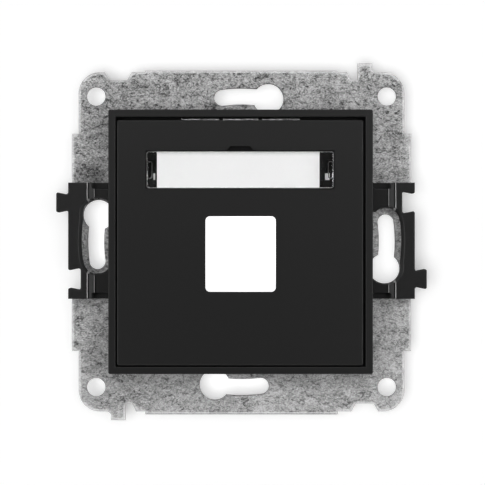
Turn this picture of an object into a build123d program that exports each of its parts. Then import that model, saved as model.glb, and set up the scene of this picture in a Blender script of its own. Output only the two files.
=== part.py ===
from build123d import *
import os

os.makedirs("parts", exist_ok=True)

# Socket module insert for a round 60 mm wall box, held as it hangs on the wall: X to the right,
# Z up, the front faces -Y. The origin is the centre of the four corner screw holes, on the back
# face of the steel plate, which is the wall plane. Sketches lie on Plane.XZ, whose normal is -Y,
# so an offset of that plane is a height above the wall, and a negative height is inside the box.
# All sizes are millimetres and degrees.

# Steel support plate
plate_t = 1.0
edge_margin = 5.0           # steel outside the circle of the keyholes, on all four sides
corner_inset = 1.4          # the plate is narrower near its four corners
corner_radius = 4.4
wide_top = 22.3             # the wide middle runs from here down to wide_bottom
wide_bottom = -22.5
shoulder_radius = 0.9
waist_height = 23.0         # between the wide stretches, behind the couplers
lip_width = 39.8            # centre stretch of the top and bottom edges stands proud
lip_top = 0.3
lip_bottom = 0.65
lip_radius = 0.55           # of the lower one; the press has rolled it further over
sheared_radius = 0.2        # the press rounds the front edge of all that it shears
plate_cutout = 40.0
cutout_radius = 2.0
screw_pitch = 60.0          # of the wall box's screws, and of the corner holes
screw_hole_r = 1.9

# Keyhole slots for the box screws, on one circle. Angles run from each slot's own axis
slot_width = 3.3
keyhole_head_r = 3.1
head_angle = -10.6
slot_end_angle = 7.6

# Tabs and notches that line up plates set one above the other
tab_side = 25.45            # from the middle of the plate to the middle of a tab
tab_width = 3.0
tab_rise = 1.8
tab_root_radius = 0.9
notch_depth = 1.65
notch_floor = 3.7
notch_mouth = 5.7
relief_floor = 1.4          # slot on the inner side of each tab
relief_mouth = 2.2

# Side couplers, moulded on one base that lies on the front of the plate
coupler_gap = 0.5           # the couplers' flats stand out from the plate by this
coupler_height = 23.8
coupler_rise = 0.22         # they lie a little above the middle of the plate
coupler_h = 4.6             # front of the couplers, above the wall
floor_h = 3.4               # front of the base, and of the couplers' sunk inner part
step_h = 4.0                # two steps lead down to it, step_run apart
step_inset = 4.0
step_run = 1.4
step_radius = 0.2
dovetail_z = 7.85
dovetail_neck = 3.2
dovetail_head = 4.25
dovetail_length = 2.45
dovetail_clearance = 0.12
dovetail_radius = 0.4
coupler_edge_radius = 0.2
waist_inset = 2.3           # the plate's waist lies this far inside the couplers' flats
waist_clearance = 0.1
window_head_gap = 0.15      # rim of steel left showing round each keyhole
window_end_gap = 1.2
window_side_gap = 1.3
window_lean = 0.4           # their walls lean back, so that they are wider in front by this
window_inner_gap = 0.65     # how far the window runs in under the ring
window_arc_end = 7.2        # above it the window steps in past the neighbour's dovetail
window_step_z = 5.9
window_step = 2.0
window_corner_radius = 0.9
claw_width = 3.9            # pockets for the claws of the cover frame
claw_depth = 1.25
claw_floor_h = 2.0
claw_radius = 0.9
claw_small_radius = 0.35
rim_radius = 0.15           # round the windows and the pockets
base_window_drop = 4.05     # the window in the base behind the face is lower at its top

# Trim ring round the face
ring_width = 53.7
ring_wall = 1.5
ring_h = 8.5
ring_corner_radius = 0.35
ring_edge_radius = 0.2
ledge_reach = 2.15          # ledge inside the ring, which carries the face insert
ledge_h = 5.6
ledge_t = 1.2
slot_row_width = 24.2       # three slots in the ledge under the ring's upper wall
slot_row_reach = 1.45
post_width = 0.75
post_spacing = 8.0
peg_inset = 2.75            # pegs under the ring's corners plug into the base
peg_r = 1.3
peg_boss_r = 2.1
peg_clearance = 0.25
ring_shift_x = -0.18        # the ring sits to one side by the play of its pegs
gusset = 5.4
seat_clearance = 0.1
base_play = 0.28            # of the base in the ring, on each side

# Face insert
face_play_x = 0.75          # how much smaller the insert is than the ring's opening
face_play_z = 0.9
face_h = 8.8
face_t = 1.6
face_corner_radius = 0.4
face_edge_radius = 0.25
face_shift_x = -0.28        # the insert hangs a little low and to one side in the ring
face_shift_z = -0.19
skirt_t = 1.2
skirt_clearance = 0.05
aperture_width = 14.3
aperture_height = 15.35
aperture_radius = 0.9
aperture_drop = 2.3
aperture_shift = 0.1
latch_width = 6.0
latch_t = 1.3
latch_clearance = 0.1
latch_z = 12.0
latch_foot = 0.2
latch_barb = 0.7

# Label field: a sunk pocket, a paper strip and a clear cover that snaps over it
label_drop = 10.1           # from the face's top edge to the middle of the label field
pocket_width = 38.4
pocket_height = 7.9
pocket_depth = 1.1
pocket_radius = 0.35
pad_margin = 1.2
pad_t = 0.8
pry_base = 5.6
pry_top = 4.0
pry_rise = 0.85
pry_depth = 0.8
cover_clearance = 0.25
cover_t = 0.75
cover_radius = 0.5
cover_edge_radius = 0.18
leg_t = 1.0
leg_width = 3.5
leg_inset = 0.05
leg_radius = 0.4
leg_tip_radius = 0.22
leg_reach = 0.4
leg_slot_width = 1.7
leg_slot_end = 0.3
leg_slot_gap = 0.05
paper_t = 0.15
paper_play = 2.8            # how much shorter the paper is than the space between the legs
paper_margin = 0.15
paper_shift = -0.38
paper_gap = 0.05

# Module holder behind the plate, for one snap-in jack of the common 14.5 by 16 mm kind
port_width = 14.8
port_height = 16.2
port_drop = 2.5
holder_shift_x = -0.17      # it floats a little from side to side in the plate's cut-out
cage_wall = 2.3
cage_radius = 1.0
cage_front_gap = 0.3
port_ledge_h = -1.5         # the jack's lugs catch behind this step
cage_back_h = -6.0
lug_room = 1.9
lug_wall = 1.3
bridge_width = 25.0
bridge_overlap = 3.0        # how far the bridge reaches past the plate's cut-out
bridge_t = 2.2
bridge_radius = 3.0
rib_t = 1.2
rib_depth = 2.4
hook_t = 1.4                # snap hooks of the base and of the holder
hook_clearance = 0.1
hook_margin = 0.35          # from the window in the base to the inner side of its hooks
hook_gap = 0.05
hook_barb = 0.7
hook_barb_h = 1.1
base_hook_width = 5.0
base_hook_z = 12.0
holder_hook_width = 8.0
hook_pocket_margin = 1.0
hook_pocket_depth = 1.6

# Sizes that only serve the modelling
cut_past = 0.1              # how far a cut reaches past the edge that it opens
dovetail_root = 0.5         # how far a dovetail reaches into its own coupler
tolerance = 0.01

# Sizes that follow from the ones above
slot_circle_r = screw_pitch / 2
plate_width = screw_pitch + 2 * edge_margin      # across the wide middle of the long sides
plate_height = screw_pitch + 2 * edge_margin
corner_width = plate_width - 2 * corner_inset
coupler_face_x = plate_width / 2 + coupler_gap   # 71 mm from one device to the next
waist_width = 2 * (coupler_face_x - waist_inset)
recess_neck = dovetail_neck + 2 * dovetail_clearance
recess_head = dovetail_head + 2 * dovetail_clearance
recess_depth = dovetail_length + dovetail_clearance
step_x = coupler_face_x - step_inset
low_step_x = step_x - step_run
ring_opening = ring_width - 2 * ring_wall
ring_half = ring_width / 2
opening_half = ring_opening / 2
base_half = opening_half - base_play
window_inner_x = ring_half - window_inner_gap
window_outer_r = slot_circle_r + slot_width / 2 + window_side_gap
slot_row_z = opening_half - slot_row_reach
peg_side = opening_half - peg_inset
cutout_half = plate_cutout / 2
hook_outer = cutout_half - hook_clearance
base_window_half = hook_outer - hook_t - hook_margin
base_window_top = base_window_half - base_window_drop
face_width = ring_opening - face_play_x
face_height = ring_opening - face_play_z
label_rise = face_height / 2 - label_drop
face_back_h = face_h - face_t
pad_back_h = face_back_h - pad_t
pocket_floor_h = face_h - pocket_depth
ledge_back_h = ledge_h - ledge_t
latch_outer = opening_half - ledge_reach - latch_clearance + face_shift_x - ring_shift_x
cover_width = pocket_width - 2 * cover_clearance
cover_height = pocket_height - 2 * cover_clearance
cover_back_h = pocket_floor_h + paper_t + paper_gap
leg_outer = cover_width / 2 - leg_inset
leg_slot_outer = leg_outer + leg_slot_gap
paper_width = 2 * (leg_outer - leg_t) - paper_play
paper_height = cover_height - paper_margin
lug_height = port_height + 2 * lug_room
cage_width = port_width + 2 * cage_wall
cage_height = lug_height + 2 * lug_wall
bridge_height = plate_cutout + 2 * bridge_overlap


def at_height(height):
    """The sketch plane at a height above the wall, seen from the front."""
    return Plane.XZ.offset(height)


def at_height_aside(height, shift_x, shift_z=0):
    """The same, with its origin moved for a piece that sits a little off centre by its play."""
    return Plane(origin=(shift_x, -height, shift_z), x_dir=(1, 0, 0), z_dir=(0, -1, 0))


def on_couplers(height):
    """The sketch plane for the couplers, and for the gates that let them through the ring."""
    return at_height_aside(height, 0, coupler_rise)


def on_face(height):
    """The sketch plane for what belongs to the face insert."""
    return at_height_aside(height, face_shift_x, face_shift_z)


def on_ring(height):
    """The sketch plane for what belongs to the trim ring."""
    return at_height_aside(height, ring_shift_x)


def on_holder(height):
    """The sketch plane for what belongs to the module holder."""
    return at_height_aside(height, holder_shift_x)


def on_circle(angle):
    """A point on the circle of the keyhole slots."""
    point = Vector(slot_circle_r, 0, 0).rotate(Axis.Z, angle)
    return (point.X, point.Y)


def edges_at(part, height):
    """The edges whose middle lies at one height above the wall."""
    return part.edges().filter_by_position(Axis.Y, -height, -height)


# One keyhole slot, drawn on the axis of the slot at the right, for all four
with BuildSketch() as keyhole:
    SlotArc(CenterArc((0, 0), slot_circle_r, head_angle, slot_end_angle - head_angle,
                      mode=Mode.PRIVATE), slot_width)
    with Locations(on_circle(head_angle)):
        Circle(keyhole_head_r)

# Support plate: one blank, cut and punched from galvanised sheet
with BuildPart() as support_plate:
    with BuildSketch(at_height(0)) as blank:
        RectangleRounded(corner_width, plate_height, corner_radius)
        with Locations((0, (wide_top + wide_bottom) / 2)):
            Rectangle(plate_width, wide_top - wide_bottom)
        shoulders = blank.vertices().filter_by_position(Axis.Y, wide_top, wide_top)
        fillet(shoulders.filter_by(lambda v: abs(v.X) < plate_width / 2 - tolerance), shoulder_radius)
        # The waist makes room for the couplers and for the neighbour's dovetails
        with Locations((plate_width / 2, 0), (-plate_width / 2, 0)):
            Rectangle(plate_width - waist_width, waist_height, mode=Mode.SUBTRACT)
        # A tab with a relief slot beside it, and a notch for the tab of the plate beyond,
        # at the top, and the same turned half round at the bottom
        with PolarLocations(0, 2):
            with Locations((tab_side, plate_height / 2)):
                Rectangle(tab_width, 2 * tab_rise)
            with Locations((-tab_side, plate_height / 2)):
                Polygon((-notch_mouth / 2, cut_past), (-notch_floor / 2, -notch_depth),
                        (notch_floor / 2, -notch_depth), (notch_mouth / 2, cut_past),
                        align=None, mode=Mode.SUBTRACT)
            with Locations((tab_side - tab_width / 2, plate_height / 2)):
                Polygon((0, cut_past), (0, -notch_depth), (-relief_floor, -notch_depth),
                        (-relief_mouth, cut_past), align=None, mode=Mode.SUBTRACT)
        tab_roots = blank.vertices().filter_by(
            lambda v: abs(abs(v.X) - tab_side - tab_width / 2) < tolerance
            and abs(abs(v.Y) - plate_height / 2) < tolerance)
        fillet(tab_roots, tab_root_radius)
        with Locations((0, (lip_top - lip_bottom) / 2)):
            Rectangle(lip_width, plate_height + lip_top + lip_bottom)
        RectangleRounded(plate_cutout, plate_cutout, cutout_radius, mode=Mode.SUBTRACT)
        with GridLocations(screw_pitch, screw_pitch, 2, 2):
            Circle(screw_hole_r, mode=Mode.SUBTRACT)
        with PolarLocations(0, 4):
            add(keyhole.sketch, mode=Mode.SUBTRACT)
    extrude(amount=plate_t)
    lip_edges = edges_at(support_plate, plate_t).filter_by(
        lambda e: e.center().Z < -plate_height / 2 - tolerance
        and e.length > lip_width - tolerance)
    fillet(lip_edges, lip_radius)
    fillet(edges_at(support_plate, plate_t), sheared_radius)
support_plate.part.label = "support_plate"
export_step(support_plate.part, "parts/support_plate.step")


def coupler_window(wider):
    """Outline of the window over one keyhole, drawn like the keyhole itself."""
    with BuildSketch() as outline:
        with BuildLine():
            outer_arc = CenterArc((0, 0), window_outer_r + wider, head_angle,
                                  window_arc_end - head_angle)
            Polyline(outer_arc @ 1, (window_outer_r + wider - window_step, window_step_z + wider),
                     (window_inner_x, window_step_z + wider),
                     (window_inner_x, on_circle(head_angle)[1]), outer_arc @ 0)
        make_face()
        fillet(outline.vertices().sort_by_distance(outer_arc @ 1)[0], window_corner_radius)
        with Locations(on_circle(head_angle)):
            Circle(keyhole_head_r + window_head_gap + wider)
        with Locations(on_circle(slot_end_angle)):
            Circle(slot_width / 2 + window_end_gap + wider)
    return outline.sketch


# Coupler base: one black moulding on the front of the plate, with a coupler on each side.
# The couplers of two devices side by side hook into each other, a dovetail in a recess.
with BuildPart() as coupler_base:
    with BuildSketch(at_height(plate_t)) as base_frame:
        Rectangle(2 * base_half, 2 * base_half)
        with Locations((0, (base_window_top - base_window_half) / 2)):
            Rectangle(2 * base_window_half, base_window_top + base_window_half,
                      mode=Mode.SUBTRACT)
        with Locations((0, slot_row_z)):
            Rectangle(slot_row_width, base_half, align=(Align.CENTER, Align.MIN),
                      mode=Mode.SUBTRACT)
    extrude(amount=floor_h - plate_t)
    with BuildSketch(on_couplers(plate_t)) as couplers:
        with PolarLocations(0, 2):
            with Locations((window_inner_x - gusset, 0)):
                Rectangle(coupler_face_x - window_inner_x + gusset, coupler_height,
                          align=(Align.MIN, Align.CENTER))
            with Locations((coupler_face_x, -dovetail_z)):
                Polygon((-dovetail_root, -dovetail_neck / 2), (0, -dovetail_neck / 2),
                        (dovetail_length, -dovetail_head / 2), (dovetail_length, dovetail_head / 2),
                        (0, dovetail_neck / 2), (-dovetail_root, dovetail_neck / 2),
                        align=None)
            with Locations((coupler_face_x, dovetail_z)):
                Polygon((cut_past, -recess_neck / 2), (-recess_depth, -recess_head / 2),
                        (-recess_depth, recess_head / 2), (cut_past, recess_neck / 2),
                        align=None, mode=Mode.SUBTRACT)
        dovetail_corners = couplers.vertices().filter_by(
            lambda v: abs(v.X) > coupler_face_x - recess_depth - tolerance
            and abs(v.Y) < coupler_height / 2 - tolerance)
        fillet(dovetail_corners, dovetail_radius)
    extrude(amount=coupler_h - plate_t)
    fillet(edges_at(coupler_base, coupler_h), coupler_edge_radius)
    # Feet that fill the waist of the plate, so that the base can't slide on it
    with BuildSketch(at_height(0)) as feet:
        with PolarLocations(0, 2):
            with Locations((waist_width / 2 + waist_clearance, 0)):
                Rectangle(waist_inset - waist_clearance, waist_height - 2 * waist_clearance,
                          align=(Align.MIN, Align.CENTER))
            with Locations((coupler_face_x, dovetail_z)):
                Rectangle(2 * recess_depth, recess_head + 2 * dovetail_radius,
                          mode=Mode.SUBTRACT)
    extrude(amount=plate_t)
    # Windows over the keyholes, as wide as the screw heads need
    for window_turn in (0, 180):
        with BuildSketch(on_couplers(plate_t)) as window_floor:
            add(coupler_window(0), rotation=window_turn)
        with BuildSketch(on_couplers(coupler_h)) as window_mouth:
            add(coupler_window(window_lean), rotation=window_turn)
        loft(ruled=True, mode=Mode.SUBTRACT)
        fillet(coupler_base.edges(Select.LAST).filter_by_position(Axis.Y, -coupler_h, -coupler_h),
               rim_radius)
    # Two steps down towards the ring
    with BuildSketch(Plane.XY.offset(-coupler_height)) as steps:
        for side in (1, -1):
            Polygon((side * step_x, -step_h), (side * low_step_x, -step_h),
                    (side * low_step_x, -floor_h), (0, -floor_h), (0, -ring_h),
                    (side * step_x, -ring_h), align=None)
    extrude(amount=2 * coupler_height, mode=Mode.SUBTRACT)
    fillet(edges_at(coupler_base, coupler_h).filter_by(
        lambda e: abs(abs(e.center().X) - step_x) < tolerance), step_radius)
    fillet(edges_at(coupler_base, step_h).filter_by(
        lambda e: abs(abs(e.center().X) - low_step_x) < tolerance), step_radius)
    # Pockets for the claws of the cover frame, open at the couplers' ends
    with BuildSketch(on_couplers(claw_floor_h)) as claw_pockets:
        with PolarLocations(0, 2):
            with Locations((ring_half, coupler_height / 2), (ring_half, -coupler_height / 2)):
                Rectangle(claw_width, 2 * claw_depth, align=(Align.MIN, Align.CENTER))
        inner_corners = claw_pockets.vertices().filter_by(
            lambda v: abs(v.X) < ring_half + tolerance)
        fillet(inner_corners, claw_radius)
        outer_corners = claw_pockets.vertices().filter_by(
            lambda v: abs(v.X) > ring_half + claw_width - tolerance)
        fillet(outer_corners, claw_small_radius)
    extrude(amount=coupler_h, mode=Mode.SUBTRACT)
    claw_edges = edges_at(coupler_base, floor_h).filter_by(
        lambda e: abs(e.center().X) > ring_half + tolerance
        and abs(e.center().X) < low_step_x - tolerance
        and abs(e.center().Z - coupler_rise) > coupler_height / 2 - claw_depth - tolerance
        and abs(e.center().Z - coupler_rise) < coupler_height / 2 - tolerance)
    fillet(claw_edges, rim_radius)
    # Holes for the trim ring's pegs, and pockets for the barbs of the holder's hooks
    with BuildSketch(at_height(plate_t)) as peg_holes:
        with GridLocations(2 * peg_side, 2 * peg_side, 2, 2):
            Circle(peg_r + peg_clearance)
    extrude(amount=floor_h, mode=Mode.SUBTRACT)
    with BuildSketch(at_height(plate_t)) as hook_pockets:
        with Locations((0, hook_outer - hook_t / 2), (0, -hook_outer + hook_t / 2)):
            Rectangle(holder_hook_width + 2 * hook_pocket_margin,
                      hook_t + 2 * hook_pocket_margin)
    extrude(amount=hook_pocket_depth, mode=Mode.SUBTRACT)
    # Snap hooks that grip the left and right edges of the plate's cut-out from behind
    for hook_z in (base_hook_z, -base_hook_z):
        with BuildSketch(Plane.XY.offset(hook_z - base_hook_width / 2)) as base_hook:
            for side in (1, -1):
                Polygon((side * (hook_outer - hook_t), -plate_t), (side * hook_outer, -plate_t),
                        (side * hook_outer, hook_gap),
                        (side * (hook_outer + hook_barb), hook_gap),
                        (side * (hook_outer - hook_t / 2), hook_gap + hook_barb_h),
                        (side * (hook_outer - hook_t), hook_gap + hook_barb_h), align=None)
        extrude(amount=base_hook_width)
coupler_base.part.label = "coupler_base"
export_step(coupler_base.part, "parts/coupler_base.step")

# Trim ring: a square black ring that stands on the plate, over the base, and clears the couplers
with BuildPart() as trim_ring:
    with BuildSketch(on_ring(plate_t)) as ring_section:
        RectangleRounded(ring_width, ring_width, ring_corner_radius)
        Rectangle(ring_opening, ring_opening, mode=Mode.SUBTRACT)
    extrude(amount=ring_h - plate_t)
    fillet(edges_at(trim_ring, ring_h), ring_edge_radius)
    with BuildSketch(on_ring(ledge_back_h)) as ledge:
        Rectangle(ring_opening + ring_wall, ring_opening + ring_wall)
        Rectangle(ring_opening - 2 * ledge_reach, ring_opening - 2 * ledge_reach,
                  mode=Mode.SUBTRACT)
        with GridLocations(ring_opening - gusset, ring_opening - gusset, 2, 2):
            Rectangle(gusset, gusset)
    extrude(amount=ledge_t)
    with BuildSketch(on_ring(floor_h)) as peg_bosses:
        with GridLocations(2 * peg_side, 2 * peg_side, 2, 2):
            Circle(peg_boss_r)
    extrude(amount=ledge_back_h - floor_h)
    with BuildSketch(on_ring(plate_t + peg_clearance)) as pegs:
        with GridLocations(2 * peg_side, 2 * peg_side, 2, 2):
            Circle(peg_r)
    extrude(amount=floor_h - plate_t - peg_clearance)
    with BuildSketch(on_couplers(plate_t)) as coupler_gates:
        Rectangle(2 * ring_width, coupler_height + 2 * seat_clearance)
    extrude(amount=floor_h - plate_t + seat_clearance, mode=Mode.SUBTRACT)
    with BuildSketch(on_ring(plate_t)) as slot_row:
        with Locations((0, slot_row_z)):
            Rectangle(slot_row_width, slot_row_reach, align=(Align.CENTER, Align.MIN))
    extrude(amount=ledge_h - plate_t, mode=Mode.SUBTRACT)
    with BuildSketch(on_ring(plate_t)) as slot_posts:
        with Locations((0, slot_row_z + seat_clearance)):
            with GridLocations(post_spacing, 0, 2, 1):
                Rectangle(post_width, slot_row_reach + ring_wall - 2 * seat_clearance,
                          align=(Align.CENTER, Align.MIN))
    extrude(amount=ledge_h - plate_t)
trim_ring.part.label = "trim_ring"
export_step(trim_ring.part, "parts/trim_ring.step")

# Face insert: the matte cover plate with the jack's aperture and the sunk label pocket
with BuildPart() as face_insert:
    with BuildSketch(on_face(face_back_h)) as face_plate:
        RectangleRounded(face_width, face_height, face_corner_radius)
    extrude(amount=face_t)
    fillet(edges_at(face_insert, face_h), face_edge_radius)
    with BuildSketch(on_face(ledge_h + skirt_clearance)) as skirt:
        RectangleRounded(face_width, face_height, face_corner_radius)
        Rectangle(face_width - 2 * skirt_t, face_height - 2 * skirt_t, mode=Mode.SUBTRACT)
    extrude(amount=face_back_h - ledge_h - skirt_clearance)
    with BuildSketch(on_face(pad_back_h)) as pocket_pad:
        with Locations((0, label_rise)):
            Rectangle(pocket_width + 2 * pad_margin, pocket_height + 2 * pad_margin)
    extrude(amount=pad_t)
    with BuildSketch(on_face(pocket_floor_h)) as pocket:
        with Locations((0, label_rise)):
            RectangleRounded(pocket_width, pocket_height, pocket_radius)
    extrude(amount=pocket_depth, mode=Mode.SUBTRACT)
    # Notch above the pocket for a fingernail or a small screwdriver
    with BuildSketch(on_face(face_h - pry_depth)) as pry_notch:
        with Locations((0, label_rise + pocket_height / 2)):
            Polygon((-pry_base / 2, -cut_past), (pry_base / 2, -cut_past), (pry_top / 2, pry_rise),
                    (-pry_top / 2, pry_rise), align=None)
    extrude(amount=pry_depth, mode=Mode.SUBTRACT)
    with BuildSketch(on_face(pad_back_h)) as leg_slots:
        with Locations((leg_slot_outer - leg_slot_width / 2, label_rise),
                       (-leg_slot_outer + leg_slot_width / 2, label_rise)):
            Rectangle(leg_slot_width, leg_width + 2 * leg_slot_end)
    extrude(amount=face_t + pad_t, mode=Mode.SUBTRACT)
    with BuildSketch(on_face(face_back_h)) as aperture:
        with Locations((aperture_shift, -aperture_drop)):
            RectangleRounded(aperture_width, aperture_height, aperture_radius)
    extrude(amount=face_t, mode=Mode.SUBTRACT)
    # Latch arms that spring out under the ring's ledge
    for arm_z in (latch_z, -latch_z):
        with BuildSketch(Plane((face_shift_x, 0, face_shift_z + arm_z - latch_width / 2))) as arms:
            for side in (1, -1):
                Polygon((side * (latch_outer - latch_t), -face_back_h),
                        (side * latch_outer, -face_back_h),
                        (side * latch_outer, -ledge_back_h + latch_clearance),
                        (side * (latch_outer + latch_barb), -ledge_back_h + latch_clearance),
                        (side * latch_outer, -floor_h - latch_foot),
                        (side * (latch_outer - latch_t), -floor_h - latch_foot), align=None)
        extrude(amount=latch_width)
face_insert.part.label = "face_insert"
export_step(face_insert.part, "parts/face_insert.step")

# Label paper: a plain white strip on the floor of the pocket
with BuildPart() as label_paper:
    with BuildSketch(on_face(pocket_floor_h)) as strip:
        with Locations((paper_shift, label_rise)):
            Rectangle(paper_width, paper_height)
    extrude(amount=paper_t)
label_paper.part.label = "label_paper"
export_step(label_paper.part, "parts/label_paper.step")

# Label cover: a clear plate that holds the paper down, with a leg at each end
with BuildPart() as label_cover:
    with BuildSketch(on_face(cover_back_h)) as cover_plate:
        with Locations((0, label_rise)):
            RectangleRounded(cover_width, cover_height, cover_radius)
    extrude(amount=cover_t)
    fillet(edges_at(label_cover, cover_back_h + cover_t), cover_edge_radius)
    with BuildSketch(on_face(pad_back_h - leg_reach)) as legs:
        with Locations((leg_outer - leg_t / 2, label_rise), (-leg_outer + leg_t / 2, label_rise)):
            RectangleRounded(leg_t, leg_width, leg_radius)
    extrude(amount=cover_back_h - pad_back_h + leg_reach)
    fillet(edges_at(label_cover, pad_back_h - leg_reach), leg_tip_radius)
label_cover.part.label = "label_cover"
export_step(label_cover.part, "parts/label_cover.step")

# Module holder: a bridge across the back of the plate, with the cage that the jack snaps into
with BuildPart() as module_holder:
    with BuildSketch(on_holder(-bridge_t)) as bridge:
        RectangleRounded(bridge_width, bridge_height, bridge_radius)
    extrude(amount=bridge_t)
    with BuildSketch(on_holder(cage_back_h)) as cage:
        with Locations((0, -port_drop)):
            RectangleRounded(cage_width, cage_height, cage_radius)
    extrude(amount=face_back_h - cage_front_gap - cage_back_h)
    with BuildSketch(on_holder(cage_back_h)) as port:
        with Locations((0, -port_drop)):
            Rectangle(port_width, port_height)
    extrude(amount=face_h - cage_back_h, mode=Mode.SUBTRACT)
    with BuildSketch(on_holder(cage_back_h)) as lug_space:
        with Locations((0, -port_drop)):
            Rectangle(port_width, lug_height)
    extrude(amount=port_ledge_h - cage_back_h, mode=Mode.SUBTRACT)
    # Ribs that stiffen the bridge above and below the cage
    with BuildSketch(on_holder(-bridge_t - rib_depth)) as ribs:
        with GridLocations(cage_width - rib_t, 0, 2, 1):
            Rectangle(rib_t, bridge_height - 2 * bridge_radius)
        with Locations((0, -port_drop)):
            Rectangle(cage_width, cage_height, mode=Mode.SUBTRACT)
    extrude(amount=rib_depth)
    # Hooks that pass the plate's cut-out and grip its front, in the pockets of the base
    with BuildSketch(Plane.YZ.offset(holder_shift_x - holder_hook_width / 2)) as holder_hooks:
        for side in (1, -1):
            Polygon((0, side * (hook_outer - hook_t)), (0, side * hook_outer),
                    (-plate_t - hook_gap, side * hook_outer),
                    (-plate_t - hook_gap, side * (hook_outer + hook_barb)),
                    (-plate_t - hook_gap - hook_barb_h, side * (hook_outer - hook_t / 2)),
                    (-plate_t - hook_gap - hook_barb_h, side * (hook_outer - hook_t)), align=None)
    extrude(amount=holder_hook_width)
module_holder.part.label = "module_holder"
export_step(module_holder.part, "parts/module_holder.step")
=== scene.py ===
import bpy
import numpy as np
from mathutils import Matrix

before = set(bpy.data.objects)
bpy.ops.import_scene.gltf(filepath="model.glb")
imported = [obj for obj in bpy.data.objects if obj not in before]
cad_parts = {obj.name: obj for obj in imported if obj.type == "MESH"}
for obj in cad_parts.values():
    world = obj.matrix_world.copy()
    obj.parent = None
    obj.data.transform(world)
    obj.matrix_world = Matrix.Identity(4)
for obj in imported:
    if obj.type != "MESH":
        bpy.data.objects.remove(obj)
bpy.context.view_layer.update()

# ---------------------------------------------------------------- support plate
# Sheared and punched from 1 mm galvanised steel sheet: dull zinc with a mottled, leafy crystal
# pattern, with a painted highlight where the press has rolled the front edge over.

MM = 0.001
DECIMETRES = (0.01, 0.01, 0.01)     # turns millimetres to decimetres, which suit a colour ramp


def linear(hex_colour):
    """An sRGB hex colour as linear red, green, blue and alpha."""
    srgb = np.array([int(hex_colour[i:i + 2], 16) for i in (1, 3, 5)]) / 255
    rgb = np.where(srgb <= 0.04045, srgb / 12.92, ((srgb + 0.055) / 1.055) ** 2.4)
    return (*rgb, 1.0)


def add_node(tree, kind, settings=None, inputs=None, links=(), stops=(), blend="LINEAR"):
    """Adds one node, sets its properties and sockets, and links (source, input) pairs to it.

    A source is an output, or a node for its first output. A colour ramp also takes its stops,
    each a position with a linear grey or a hex colour, and the way that it blends them.
    """
    node = tree.nodes.new(kind)
    for name, value in (settings or {}).items():
        setattr(node, name, value)
    for name, value in (inputs or {}).items():
        node.inputs[name].default_value = value
    for source, name in links:
        output = source if isinstance(source, bpy.types.NodeSocket) else source.outputs[0]
        tree.links.new(output, node.inputs[name])
    if stops:
        node.color_ramp.interpolation = blend
        for position, _ in stops[2:]:
            node.color_ramp.elements.new(position)
        for element, (position, shade) in zip(node.color_ramp.elements, stops):
            element.position = position
            element.color = linear(shade) if isinstance(shade, str) else (shade, shade, shade, 1)
    return node


def new_material(name, inputs=None):
    """A material with a Principled shader: the material, its tree and the shader."""
    material = bpy.data.materials.new(name)
    material.use_nodes = True
    shader = material.node_tree.nodes["Principled BSDF"]
    for socket, value in (inputs or {}).items():
        shader.inputs[socket].default_value = value
    return material, material.node_tree, shader


def object_coordinates(tree, stretch=(1.0, 1.0, 1.0)):
    """Object coordinates in millimetres, times a stretch along each axis."""
    place = add_node(tree, "ShaderNodeTexCoord")
    return add_node(tree, "ShaderNodeMapping", inputs={"Scale": tuple(s / MM for s in stretch)},
                    links=[(place.outputs["Object"], "Vector")])


def weighted_sum(tree, start, parts):
    """start plus each source times its weight."""
    total = start
    for source, weight in parts:
        node = add_node(tree, "ShaderNodeMath", {"operation": "MULTIPLY_ADD"}, {1: weight},
                        [(source, 0)])
        if isinstance(total, float):
            node.inputs[2].default_value = total
        else:
            tree.links.new(total.outputs[0], node.inputs[2])
        total = node
    return total


def dress(node_name, material):
    """Gives a moulding or a sheet its material."""
    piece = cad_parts[node_name]
    piece.data.materials.clear()
    piece.data.materials.append(material)


# Hot-dip zinc on rolled steel sheet, gone dull. To the eye it is a soft mid grey, broken up by
# dark flecks and curls and by thin pale worms. Each layer has the size of its features in
# millimetres, then how detailed, rough and swirled they are. Real grit is finer than the one here,
# which is drawn as coarse as it needs to show.
ZINC_LAYERS = {
    "clouds": (8.3, 2.0, 0.5, 0.0),
    "flecks": (1.0, 3.0, 0.55, 1.4),
    "worms": (1.1, 1.5, 0.5, 3.0),
    "grit": (0.31, 2.0, 0.6, 0.0),
    "blotches": (2.0, 1.0, 0.5, 0.8),
    "curls": (2.0, 2.0, 0.6, 3.5),
    "clusters": (4.5, 2.0, 0.6, 0.0),
}
ROLLED_ALONG = (0.8, 1.0, 1.2)      # features are longer across the sheet than up
ZINC_METALLIC = 0.4
ZINC_GREYS = [(0.0, "#181818"), (0.52, "#6C6C6C"), (1.0, "#A2A2A2")]
ZINC_EDGE_HIGHLIGHT = "#CCCCCC"
DARK_PATCH_MM = (-31.0, 0.0, 14.0)
DARK_PATCH_RADIUS_MM = 4.5
ZINC_RELIEF_MM = 0.02
ROLLED_EDGE_MM = 0.95
OUTLINE = 0.33                      # decimetres from the middle; farther out is the outline

zinc, tree, zinc_shader = new_material("galvanised_steel_sheet", {"Metallic": ZINC_METALLIC})
place = object_coordinates(tree, ROLLED_ALONG)
layers = {}
for layer, (size_mm, detail, roughness, swirl) in ZINC_LAYERS.items():
    layers[layer] = add_node(tree, "ShaderNodeTexNoise",
                             inputs={"Scale": 1 / size_mm, "Detail": detail,
                                     "Roughness": roughness, "Distortion": swirl},
                             links=[(place, "Vector")])
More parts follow.
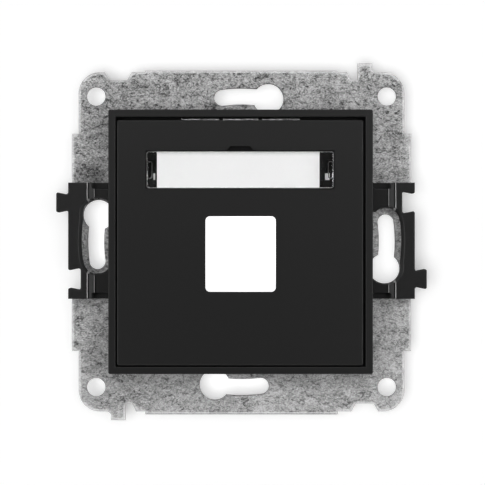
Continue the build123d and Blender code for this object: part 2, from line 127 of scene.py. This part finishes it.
# Pale worms and dark curls lie along the middle of a swirled field, the curls in clusters only
dark_flecks = add_node(tree, "ShaderNodeValToRGB", links=[(layers["flecks"], "Fac")],
                       stops=[(0.30, 0.0), (0.48, 0.85), (0.64, 1.0)])
worm_lines = add_node(tree, "ShaderNodeValToRGB", links=[(layers["worms"], "Fac")],
                      stops=[(0.47, 0.0), (0.5, 1.0), (0.53, 0.0)])
curl_lines = add_node(tree, "ShaderNodeValToRGB", links=[(layers["curls"], "Fac")],
                      stops=[(0.44, 0.0), (0.49, 1.0), (0.51, 1.0), (0.56, 0.0)])
in_clusters = add_node(tree, "ShaderNodeValToRGB", links=[(layers["clusters"], "Fac")],
                       stops=[(0.47, 0.0), (0.60, 1.0)])
dark_curls = add_node(tree, "ShaderNodeMath", {"operation": "MULTIPLY"},
                      links=[(curl_lines, 0), (in_clusters, 1)])
# One round patch beside the left coupler is darker, most in its middle
plain_place = add_node(tree, "ShaderNodeTexCoord")
patch_place = add_node(tree, "ShaderNodeMapping", {"vector_type": "TEXTURE"},
                       {"Location": tuple(c * MM for c in DARK_PATCH_MM),
                        "Scale": (DARK_PATCH_RADIUS_MM * MM, 1.0, DARK_PATCH_RADIUS_MM * MM)},
                       [(plain_place.outputs["Object"], "Vector")])
patch = add_node(tree, "ShaderNodeTexGradient", {"gradient_type": "SPHERICAL"},
                 links=[(patch_place, "Vector")])
# The pattern is stronger towards the top, and the zinc paler towards the right and the bottom
spot = add_node(tree, "ShaderNodeSeparateXYZ",
                links=[(object_coordinates(tree, DECIMETRES), "Vector")])
pattern = weighted_sum(tree, -1.40, [(layers["blotches"], 0.45), (dark_flecks, 0.65),
                                     (worm_lines, 0.40), (layers["grit"], 1.2),
                                     (dark_curls, -0.25)])
strength = weighted_sum(tree, 0.94, [(spot.outputs["Z"], 0.4)])
scaled_pattern = add_node(tree, "ShaderNodeMath", {"operation": "MULTIPLY"},
                          links=[(pattern, 0), (strength, 1)])
zinc_value = weighted_sum(tree, 0.425, [(layers["clouds"], 0.4), (patch.outputs["Fac"], -0.32),
                                        (scaled_pattern, 1.0), (spot.outputs["X"], 0.1),
                                        (spot.outputs["Z"], -0.1)])
zinc_colour = add_node(tree, "ShaderNodeValToRGB", links=[(zinc_value, "Fac")], stops=ZINC_GREYS)
# A painted highlight runs round the outline, where it starts to round over and just inside of that
facing = add_node(tree, "ShaderNodeSeparateXYZ", links=[(plain_place.outputs["Normal"], "Vector")])
flatness = add_node(tree, "ShaderNodeMath", {"operation": "ABSOLUTE"},
                    links=[(facing.outputs["Y"], 0)])
rounding = add_node(tree, "ShaderNodeValToRGB", links=[(flatness, "Fac")],
                    stops=[(0.0, 0.0), (0.8, 0.0), (0.96, 0.6), (0.995, 0.0)])
near_edge = add_node(tree, "ShaderNodeAmbientOcclusion",
                     {"inside": True, "only_local": True, "samples": 16},
                     {"Distance": ROLLED_EDGE_MM * MM})
edge_band = add_node(tree, "ShaderNodeValToRGB", links=[(near_edge.outputs["AO"], "Fac")],
                     stops=[(0.79, 0.35), (0.82, 0.0)])
aside = add_node(tree, "ShaderNodeMath", {"operation": "ABSOLUTE"},
                 links=[(spot.outputs["X"], 0)])
above = add_node(tree, "ShaderNodeMath", {"operation": "ABSOLUTE"},
                 links=[(spot.outputs["Z"], 0)])
outward = add_node(tree, "ShaderNodeMath", {"operation": "MAXIMUM"},
                   links=[(aside, 0), (above, 1)])
on_outline = add_node(tree, "ShaderNodeValToRGB", links=[(outward, "Fac")],
                      stops=[(OUTLINE - 0.001, 0.0), (OUTLINE + 0.001, 1.0)])
edge_highlight_bands = add_node(tree, "ShaderNodeMath", {"operation": "MAXIMUM"},
                  links=[(rounding, 0), (edge_band, 1)])
painted_edge_highlight = add_node(tree, "ShaderNodeMath", {"operation": "MULTIPLY"},
                     links=[(edge_highlight_bands, 0), (on_outline, 1)])
zinc_mix = add_node(tree, "ShaderNodeMix", {"data_type": "RGBA"}, {7: linear(ZINC_EDGE_HIGHLIGHT)},
                    [(painted_edge_highlight, "Factor"), (zinc_colour, 6)])
tree.links.new(zinc_mix.outputs[2], zinc_shader.inputs["Base Color"])
zinc_roughness = add_node(tree, "ShaderNodeValToRGB", links=[(painted_edge_highlight, "Fac")],
                          stops=[(0.0, 0.62), (1.0, 0.3)])
tree.links.new(zinc_roughness.outputs["Color"], zinc_shader.inputs["Roughness"])
zinc_relief = add_node(tree, "ShaderNodeBump",
                       inputs={"Strength": 0.1, "Distance": ZINC_RELIEF_MM * MM},
                       links=[(dark_flecks, "Height")])
tree.links.new(zinc_relief.outputs["Normal"], zinc_shader.inputs["Normal"])
dress("support_plate", zinc)

# ---------------------------------------------------------------- black mouldings
# Black thermoplastic. The base is semi-matt from a fine tool, the ring and the face insert have
# an even spark-eroded texture, and the holder behind is plain.

BASE_BLACK = "#0B0B0B"
FACE_BLACK = "#0D0D0D"
MOULDING_IOR = 1.49
MOULDING_SPECULAR = 0.17            # the fine texture takes most of the gloss
GRAIN_HEIGHT_MM = 0.0008
UNEVEN_BY = 0.04
DRAWN_WALL_ROUGHNESS = 0.85


# Injection-moulded PC and ABS, dyed black all through. To the eye they are an even near-black with
# a soft broad sheen. The grain of the real tools is finer, and is drawn as coarse as it needs to
# show.
def black_moulding(name, colour, roughness, grain_mm):
    """Dyed black plastic with the even grain of its tool, duller on walls drawn out of it."""
    material, tree, shader = new_material(name, {"Base Color": linear(colour),
                                                 "IOR": MOULDING_IOR,
                                                 "Specular IOR Level": MOULDING_SPECULAR})
    grain = add_node(tree, "ShaderNodeTexNoise",
                     inputs={"Scale": 1 / grain_mm, "Detail": 2.0, "Roughness": 0.6},
                     links=[(object_coordinates(tree), "Vector")])
    relief = add_node(tree, "ShaderNodeBump",
                      inputs={"Strength": 1.0, "Distance": GRAIN_HEIGHT_MM * MM},
                      links=[(grain, "Height")])
    uneven = add_node(tree, "ShaderNodeValToRGB", links=[(grain, "Fac")],
                      stops=[(0.3, roughness - UNEVEN_BY), (0.7, roughness + UNEVEN_BY)])
    normal = add_node(tree, "ShaderNodeTexCoord").outputs["Normal"]
    facing = add_node(tree, "ShaderNodeSeparateXYZ", links=[(normal, "Vector")])
    flatness = add_node(tree, "ShaderNodeMath", {"operation": "ABSOLUTE"},
                        links=[(facing.outputs["Y"], 0)])
    drawn = add_node(tree, "ShaderNodeValToRGB", links=[(flatness, "Fac")],
                     stops=[(0.25, DRAWN_WALL_ROUGHNESS), (0.6, 0.0)])
    dull = add_node(tree, "ShaderNodeMath", {"operation": "MAXIMUM"},
                    links=[(uneven, 0), (drawn, 1)])
    tree.links.new(dull.outputs["Value"], shader.inputs["Roughness"])
    tree.links.new(relief.outputs["Normal"], shader.inputs["Normal"])
    return material


base_plastic = black_moulding("moulded_black_pc", BASE_BLACK, roughness=0.32, grain_mm=0.25)
ring_plastic = black_moulding("textured_black_abs_ring", FACE_BLACK, roughness=0.36, grain_mm=0.16)
face_plastic = black_moulding("textured_black_abs_face", FACE_BLACK, roughness=0.36, grain_mm=0.16)
holder_plastic = black_moulding("plain_black_abs", FACE_BLACK, roughness=0.36, grain_mm=0.3)
dress("coupler_base", base_plastic)
dress("trim_ring", ring_plastic)
dress("face_insert", face_plastic)
dress("module_holder", holder_plastic)

# The edges of the couplers' two steps, 0.2 mm round, carry a painted highlight, the upper one
# more, and the tread between them a little painted light. Each band runs between two distances
# from the middle, in decimetres.
STEP_EDGE_HIGHLIGHT = "#7C7C7C"
LOWER_EDGE = (0.2980, 0.3020)
UPPER_EDGE = (0.3120, 0.3160)

tree = base_plastic.node_tree
normal = add_node(tree, "ShaderNodeTexCoord").outputs["Normal"]
facing = add_node(tree, "ShaderNodeSeparateXYZ", links=[(normal, "Vector")])
spot = add_node(tree, "ShaderNodeSeparateXYZ",
                links=[(object_coordinates(tree, DECIMETRES), "Vector")])
side = add_node(tree, "ShaderNodeMath", {"operation": "SIGN"}, links=[(spot.outputs["X"], 0)])
from_middle = add_node(tree, "ShaderNodeMath", {"operation": "ABSOLUTE"},
                       links=[(spot.outputs["X"], 0)])
faces_outward = add_node(tree, "ShaderNodeMath", {"operation": "MULTIPLY"},
                         links=[(facing.outputs["X"], 0), (side, 1)])
faces_inward = add_node(tree, "ShaderNodeMath", {"operation": "MULTIPLY"}, {1: -1.0},
                        [(faces_outward, 0)])
round_edge = add_node(tree, "ShaderNodeValToRGB", links=[(faces_inward, "Fac")],
                      stops=[(0.1, 0.0), (0.3, 1.0), (0.95, 1.0), (0.99, 0.0)])
step_bands = add_node(tree, "ShaderNodeValToRGB", links=[(from_middle, "Fac")],
                      stops=[(0.0, 0.0), (LOWER_EDGE[0], 0.5), (LOWER_EDGE[1], 0.0),
                             (UPPER_EDGE[0], 1.0), (UPPER_EDGE[1], 0.0)], blend="CONSTANT")
painted_edge_highlights = add_node(tree, "ShaderNodeMath", {"operation": "MULTIPLY"},
                        links=[(round_edge, 0), (step_bands, 1)])
tread_painted_light = add_node(tree, "ShaderNodeValToRGB", links=[(from_middle, "Fac")],
                 stops=[(0.0, 0.0), (LOWER_EDGE[1], 0.07), (UPPER_EDGE[0], 0.0)],
                 blend="CONSTANT")
painted_step_light = add_node(tree, "ShaderNodeMath", {"operation": "MAXIMUM"},
                  links=[(painted_edge_highlights, 0), (tread_painted_light, 1)])
base_and_step_light = add_node(tree, "ShaderNodeMix", {"data_type": "RGBA"},
                      {6: linear(BASE_BLACK), 7: linear(STEP_EDGE_HIGHLIGHT)}, [(painted_step_light, "Factor")])
tree.links.new(base_and_step_light.outputs[2], tree.nodes["Principled BSDF"].inputs["Base Color"])

# The thumbnail notch above the label field lies deep in shadow, painted in as a near-black
# diffuse mixed over the face. Its box is given by the middle and the reach along each axis, in
# millimetres.
NOTCH_BOX_MM = (("X", 0.0, 3.0), ("Y", -7.0, 1.65), ("Z", 19.1, 0.65))
NOTCH_SHADE = 0.65
NOTCH_PAINTED_SHADOW = "#050505"

tree = face_plastic.node_tree
spot = add_node(tree, "ShaderNodeSeparateXYZ", links=[(object_coordinates(tree), "Vector")])
in_notch = None
for axis, middle, reach in NOTCH_BOX_MM:
    within = add_node(tree, "ShaderNodeMath", {"operation": "COMPARE"}, {1: middle, 2: reach},
                      [(spot.outputs[axis], 0)])
    if in_notch:
        within = add_node(tree, "ShaderNodeMath", {"operation": "MULTIPLY"},
                          links=[(in_notch, 0), (within, 1)])
    in_notch = within
shade = add_node(tree, "ShaderNodeMath", {"operation": "MULTIPLY"}, {1: NOTCH_SHADE},
                 [(in_notch, 0)])
painted_notch_shadow = add_node(tree, "ShaderNodeBsdfDiffuse", inputs={"Color": linear(NOTCH_PAINTED_SHADOW)})
notch_mix = add_node(tree, "ShaderNodeMixShader",
                     links=[(shade, "Fac"), (tree.nodes["Principled BSDF"], 1), (painted_notch_shadow, 2)])
tree.links.new(notch_mix.outputs["Shader"], tree.nodes["Material Output"].inputs["Surface"])

# ---------------------------------------------------------------- label field
# A strip of plain white card under a clear polycarbonate cover, which snaps into the face insert
# by a leg at each end.

# Uncoated card, cut to size. To the eye it is a matt white with the faintest clouds. Its fibres
# are too fine to show, and are drawn as clumps that do.
CARD_WHITES = [(0.0, "#F5F5F5"), (1.0, "#FAFAFA")]
CARD_ROUGHNESS = 0.8
FIBRE_CLUMP_MM = 1.1
# Painted shade where the recess keeps some light from the upper rim of the card: height in
# millimetres, light left
UPPER_RIM_SHADE = [(17.425, 1.0), (17.55, 0.95), (17.95, 0.83), (18.15, 0.6), (18.375, 0.25)]
RIM_SPAN_MM = 25.0                  # the height that the ramp's whole length stands for

card, tree, card_shader = new_material("white_card", {"Roughness": CARD_ROUGHNESS})
fibres = add_node(tree, "ShaderNodeTexNoise", inputs={"Scale": 1 / FIBRE_CLUMP_MM, "Detail": 4.0},
                  links=[(object_coordinates(tree), "Vector")])
card_colour = add_node(tree, "ShaderNodeValToRGB", links=[(fibres, "Fac")], stops=CARD_WHITES)
card_height = add_node(tree, "ShaderNodeSeparateXYZ",
                       links=[(object_coordinates(tree, (1.0, 1.0, 1 / RIM_SPAN_MM)), "Vector")])
upper_rim_shade = add_node(tree, "ShaderNodeValToRGB", links=[(card_height.outputs["Z"], "Fac")],
                     stops=[(height_mm / RIM_SPAN_MM, light) for height_mm, light in UPPER_RIM_SHADE])
card_and_rim_shade = add_node(tree, "ShaderNodeMix", {"data_type": "RGBA", "blend_type": "MULTIPLY"},
                     {"Factor": 1.0}, [(card_colour, 6), (upper_rim_shade, 7)])
tree.links.new(card_and_rim_shade.outputs[2], card_shader.inputs["Base Color"])
dress("label_paper", card)

# Clear polycarbonate from a polished tool, hardly seen from in front. Light that runs inside the
# cover leaves it at its edges, so they look paler than its face.
POLYCARBONATE_IOR = 1.585
EDGE_WHITE = "#E8E8E8"

clear, tree, clear_shader = new_material("clear_polycarbonate",
                                         {"Base Color": linear("#FFFFFF"), "Roughness": 0.03,
                                          "IOR": POLYCARBONATE_IOR, "Transmission Weight": 1.0})
normal = add_node(tree, "ShaderNodeTexCoord").outputs["Normal"]
facing = add_node(tree, "ShaderNodeSeparateXYZ", links=[(normal, "Vector")])
flatness = add_node(tree, "ShaderNodeMath", {"operation": "ABSOLUTE"},
                    links=[(facing.outputs["Y"], 0)])
edge_mask = add_node(tree, "ShaderNodeValToRGB", links=[(flatness, "Fac")],
                     stops=[(0.0, 0.45), (0.75, 0.45), (0.97, 0.0)])
edge_glow = add_node(tree, "ShaderNodeBsdfTranslucent", inputs={"Color": linear(EDGE_WHITE)})
edge_mix = add_node(tree, "ShaderNodeMixShader",
                    links=[(edge_mask, "Fac"), (clear_shader, 1), (edge_glow, 2)])
tree.links.new(edge_mix.outputs["Shader"], tree.nodes["Material Output"].inputs["Surface"])
dress("label_cover", clear)

# ---------------------------------------------------------------- studio
# The object hangs just in front of a white sheet, as on a wall. The sheet is seen from its front
# only, and has two lamps of its own for the soft shadow round the plate.

SHEET_BEHIND_MM = 6.6               # behind the wall plane, so that it clears the holder
SHEET_HALF_MM = 450.0
SHEET_WHITE = "#F2F2F2"
SHEET_GLOW = [(0.0, 0.95), (0.16, 0.38), (0.335, 0.2)]     # by decimetres from the middle
PLAIN_SHEET_GLOW = 0.85

sheet_mesh = bpy.data.meshes.new("studio_sheet")
sheet_mesh.from_pydata([(x * SHEET_HALF_MM * MM, SHEET_BEHIND_MM * MM, z * SHEET_HALF_MM * MM)
                        for x, z in ((-1, -1), (1, -1), (1, 1), (-1, 1))], [], [(0, 1, 2, 3)])
sheet = bpy.data.objects.new("studio_sheet", sheet_mesh)
bpy.context.scene.collection.objects.link(sheet)

# For the camera the sheet takes the shadow lamps and a painted glow, strongest behind the port
# and least outside the plate. For other rays it is plain white.
sheet_paint, tree, sheet_shader = new_material("white_studio_sheet")
tree.nodes.remove(sheet_shader)
spot = add_node(tree, "ShaderNodeSeparateXYZ",
                links=[(object_coordinates(tree, DECIMETRES), "Vector")])
aside = add_node(tree, "ShaderNodeMath", {"operation": "ABSOLUTE"},
                 links=[(spot.outputs["X"], 0)])
above = add_node(tree, "ShaderNodeMath", {"operation": "ABSOLUTE"},
                 links=[(spot.outputs["Z"], 0)])
from_middle = add_node(tree, "ShaderNodeMath", {"operation": "MAXIMUM"},
                       links=[(aside, 0), (above, 1)])
glow_strength = add_node(tree, "ShaderNodeValToRGB", links=[(from_middle, "Fac")],
                         stops=SHEET_GLOW, blend="CONSTANT")
glow = add_node(tree, "ShaderNodeEmission", inputs={"Color": linear("#FFFFFF")},
                links=[(glow_strength, "Strength")])
matt = add_node(tree, "ShaderNodeBsdfDiffuse", inputs={"Color": linear(SHEET_WHITE)})
seen_sheet = add_node(tree, "ShaderNodeAddShader", links=[(glow, 0), (matt, 1)])
plain_sheet = add_node(tree, "ShaderNodeEmission", inputs={"Strength": PLAIN_SHEET_GLOW})
ray = add_node(tree, "ShaderNodeLightPath")
seen = add_node(tree, "ShaderNodeMath", {"operation": "MAXIMUM"},
                links=[(ray.outputs["Is Camera Ray"], 0), (ray.outputs["Is Transmission Ray"], 1)])
look = add_node(tree, "ShaderNodeMixShader",
                links=[(seen, "Fac"), (plain_sheet, 1), (seen_sheet, 2)])
behind = add_node(tree, "ShaderNodeNewGeometry").outputs["Backfacing"]
unseen = add_node(tree, "ShaderNodeBsdfTransparent")
one_sided = add_node(tree, "ShaderNodeMixShader",
                     links=[(behind, "Fac"), (look, 1), (unseen, 2)])
tree.links.new(one_sided.outputs["Shader"], tree.nodes["Material Output"].inputs["Surface"])
sheet_mesh.materials.append(sheet_paint)

# The room is pale at the sides and behind, and dim on the camera's side
ROOM_GREYS = [(0.0, 0.03), (0.35, 0.06), (0.6, 0.5), (1.0, 0.9)]
ROOM_STRENGTH = 0.7

world = bpy.data.worlds.new("studio_room")
world.use_nodes = True
bpy.context.scene.world = world
tree = world.node_tree
direction = add_node(tree, "ShaderNodeTexCoord").outputs["Generated"]
direction_parts = add_node(tree, "ShaderNodeSeparateXYZ", links=[(direction, "Vector")])
toward_wall = add_node(tree, "ShaderNodeMapRange",
                       inputs={"From Min": -1.0, "From Max": 0.3, "To Min": 0.0, "To Max": 1.0},
                       links=[(direction_parts.outputs["Y"], "Value")])
room_grey = add_node(tree, "ShaderNodeValToRGB", links=[(toward_wall, "Fac")], stops=ROOM_GREYS)
room = tree.nodes["Background"]
tree.links.new(room_grey.outputs["Color"], room.inputs["Color"])
room.inputs["Strength"].default_value = ROOM_STRENGTH
ray = add_node(tree, "ShaderNodeLightPath")
white = add_node(tree, "ShaderNodeBackground",
                 inputs={"Color": linear("#FFFFFF"), "Strength": 1.0})
pick = add_node(tree, "ShaderNodeMixShader",
                links=[(ray.outputs["Is Camera Ray"], "Fac"), (room, 1), (white, 2)])
tree.links.new(pick.outputs["Shader"], tree.nodes["World Output"].inputs["Surface"])


def linked(name, pieces, left_out=False):
    """A collection for light linking that names these objects, or all but them."""
    collection = bpy.data.collections.new(name)
    for i, piece in enumerate(pieces):
        collection.objects.link(piece)
        if left_out:
            collection.collection_objects[i].light_linking.link_state = "EXCLUDE"
    return collection


shadow_side = linked("lit_by_shadow_lamp", [sheet])
all_but_sheet = linked("lit_by_softboxes", [sheet], left_out=True)


def softbox(name, place_mm, size_mm, power, lights=all_but_sheet, blocked_by=None):
    """A rectangular lamp that faces the object's middle, for what one collection names."""
    lamp = bpy.data.lights.new(name, "AREA")
    lamp.shape = "RECTANGLE"
    lamp.size, lamp.size_y = size_mm[0] * MM, size_mm[1] * MM
    lamp.energy = power
    stand = bpy.data.objects.new(name, lamp)
    bpy.context.scene.collection.objects.link(stand)
    stand.location = [c * MM for c in place_mm]
    stand.rotation_mode = "QUATERNION"
    stand.rotation_quaternion = (-stand.location).to_track_quat("-Z", "Y")
    stand.light_linking.receiver_collection = lights
    if blocked_by:
        stand.light_linking.blocker_collection = blocked_by


# Place and size in millimetres, and power in watts
for name, place_mm, size_mm, power in (
        ("softbox_above", (30, -470, 600), (520, 240), 1.0),
        ("softbox_front", (20, -610, 270), (460, 230), 1.8),
        ("softbox_below", (0, -500, -480), (520, 200), 1.8),
        ("softbox_near_left", (-330, -560, 0), (120, 420), 1.33),
        ("softbox_near_right", (330, -560, 0), (120, 420), 2.03),
        ("softbox_left", (-520, -420, 20), (150, 520), 2.0),
        ("softbox_right", (540, -420, 40), (150, 520), 1.36)):
    softbox(name, place_mm, size_mm, power)

# Two narrow lamps low at the sides draw the thin bright edges of the couplers' steps and windows
EDGE_LAMP_SIZE_MM = (150, 400)
EDGE_LAMP_POWER = 2.0

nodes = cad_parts
only_couplers = linked("lit_on_couplers", [nodes["coupler_base"]])
all_but_face = linked("shadows_without_face",
                      [nodes[name] for name in ("trim_ring", "face_insert", "label_cover",
                                                "label_paper")], left_out=True)
for name, place_mm in (("edge_lamp_left", (-580, -160, 30)), ("edge_lamp_right", (580, -160, 30))):
    softbox(name, place_mm, EDGE_LAMP_SIZE_MM, EDGE_LAMP_POWER, only_couplers, all_but_face)

# Light that comes in round the ring and reaches the steel behind the three slots above the face
SLOT_ROW_MM = (27, 1.2)
SLOT_LAMP_PLACE_MM = (0.2, -6.0, 25.2)
SLOT_LAMP_SPREAD = 15               # degrees
SLOT_LAMP_POWER = 0.00008

slot_lamp = bpy.data.lights.new("slot_lamp", "AREA")
slot_lamp.shape = "RECTANGLE"
slot_lamp.size, slot_lamp.size_y = SLOT_ROW_MM[0] * MM, SLOT_ROW_MM[1] * MM
slot_lamp.spread = np.radians(SLOT_LAMP_SPREAD)
slot_lamp.energy = SLOT_LAMP_POWER
slot_stand = bpy.data.objects.new("slot_lamp", slot_lamp)
bpy.context.scene.collection.objects.link(slot_stand)
slot_stand.location = [c * MM for c in SLOT_LAMP_PLACE_MM]
slot_stand.rotation_euler = (np.pi / 2, 0, 0)
slot_stand.light_linking.receiver_collection = linked("lit_through_slots",
                                                      [nodes["support_plate"]])
slot_stand.light_linking.blocker_collection = linked(
    "shadows_without_mouldings",
    [nodes[name] for name in ("trim_ring", "face_insert", "coupler_base")], left_out=True)
slot_stand.visible_camera = False

# Distant lamps for the sheet alone: power, width, and tilts down and aside, in degrees
for name, power, angle, down, turn in (("shadow_lamp", 1.5, 29, 5, 7),
                                       ("wide_shadow_lamp", 1.13, 50, 0, 0)):
    sun = bpy.data.lights.new(name, "SUN")
    sun.energy = power
    sun.angle = np.radians(angle)
    sun_stand = bpy.data.objects.new(name, sun)
    bpy.context.scene.collection.objects.link(sun_stand)
    sun_stand.rotation_euler = (np.radians(90 + down), 0, np.radians(-turn))
    sun_stand.light_linking.receiver_collection = shadow_side

# The camera looks straight at the wall
CAMERA_MM = (0.206, -451.0, -0.144)
PLATE_FRONT_MM = 1.0
VIEW_WIDTH_MM = 100.04              # what the picture spans at the front of the steel plate
SENSOR_MM = 36.0

lens = bpy.data.cameras.new("photo_camera")
lens.sensor_width = SENSOR_MM
lens.lens = SENSOR_MM * (-CAMERA_MM[1] - PLATE_FRONT_MM) / VIEW_WIDTH_MM
lens.clip_start, lens.clip_end = 0.01, 10.0
camera = bpy.data.objects.new("photo_camera", lens)
bpy.context.scene.collection.objects.link(camera)
camera.location = [c * MM for c in CAMERA_MM]
camera.rotation_euler = (np.pi / 2, 0, 0)
bpy.context.scene.camera = camera
bpy.context.scene.view_settings.view_transform = "Standard"
